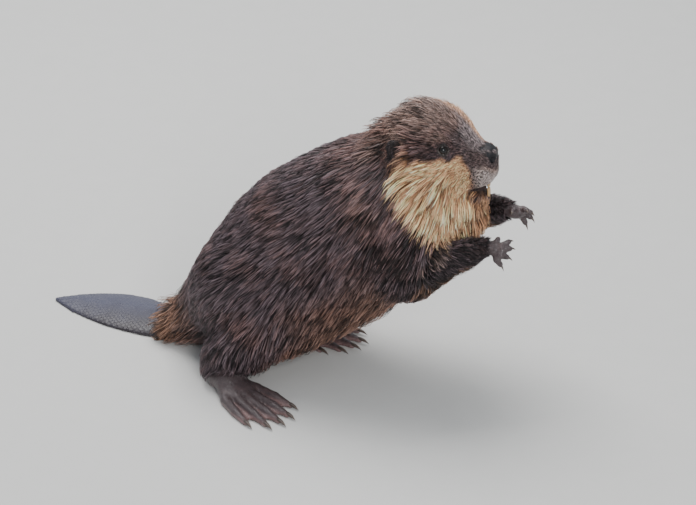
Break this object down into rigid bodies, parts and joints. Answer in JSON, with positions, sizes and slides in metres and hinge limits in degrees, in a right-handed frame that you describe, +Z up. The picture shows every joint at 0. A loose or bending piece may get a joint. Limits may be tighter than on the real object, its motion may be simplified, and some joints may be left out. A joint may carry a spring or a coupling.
{
  "type": "beaver",
  "caption": "Still, life-size beaver, reared on its hind feet with its flat scaly tail behind it on the floor and both forepaws raised in front of the chest.",
  "frame": {"origin": "middle of the bottom of the animal's own box, on the floor it stands on", "axes": "+X towards the nose, +Y towards the animal's left, +Z up; the tail lies along -X"},
  "size_m": [0.703, 0.3666, 0.4101],
  "materials": {
    "coat": "dark brown damp guard hair, in pointed tufts that lie back",
    "ruff_coat": "golden brown fur of the head, cheeks and throat",
    "foot_skin": "bare dark brown leathery skin, with dark horn claws",
    "tail_skin": "slate grey skin in small flat scales",
    "nose_skin": "bare black pebbled skin, moist",
    "ear_skin": "near-black thin skin with short hair",
    "eye": "glossy near-black brown"
  },
  "bodies": {
    "root": {"head": "ruff_coat", "lower_jaw": "ruff_coat", "neck": "coat", "trunk": "coat", "hind_leg_right": "coat", "hind_leg_left": "coat", "foreleg_right": "coat", "foreleg_left": "coat", "hind_foot_right": "foot_skin", "hind_foot_left": "foot_skin", "forepaw_right": "foot_skin", "forepaw_left": "foot_skin", "tail": "tail_skin", "nose": "nose_skin", "ear_right": "ear_skin", "ear_left": "ear_skin", "eye_right": "eye", "eye_left": "eye"}
  },
  "joints": []
}
